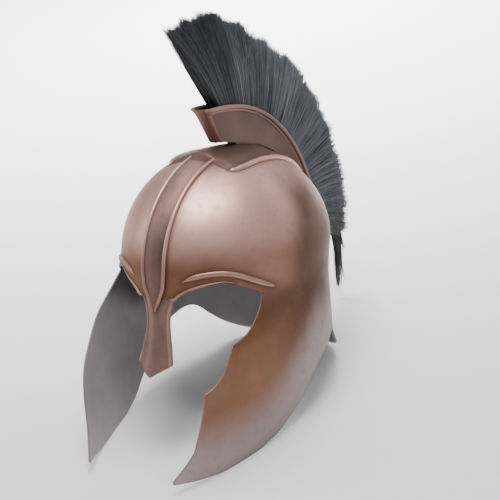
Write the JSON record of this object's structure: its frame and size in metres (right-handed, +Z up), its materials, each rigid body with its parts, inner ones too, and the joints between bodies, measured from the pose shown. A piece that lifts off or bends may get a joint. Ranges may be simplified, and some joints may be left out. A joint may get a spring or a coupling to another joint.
{
  "type": "corinthian helmet",
  "caption": "Open-faced sheet metal helmet of ancient Greek form with a nasal guard, long swept cheek guards, a raised crest box and a fan-shaped dark hair plume.",
  "frame": {"origin": "middle of the bounding box at the floor, on the middle plane between the two sides", "axes": "+Z up; the face looks along -Y, so the plume trails to +Y; +X is the wearer's left"},
  "size_m": [0.2096, 0.4422, 0.4055],
  "materials": {
    "copper_sheet": "satin antique copper, rosy on the bowl and browner toward the cheeks",
    "crest_sheet": "satin, darker copper brown",
    "hair": "matt dark grey horsehair with a cool tint"
  },
  "bodies": {
    "root": {"shell": "copper_sheet", "crest_box": "crest_sheet", "plume": "hair"}
  },
  "joints": []
}
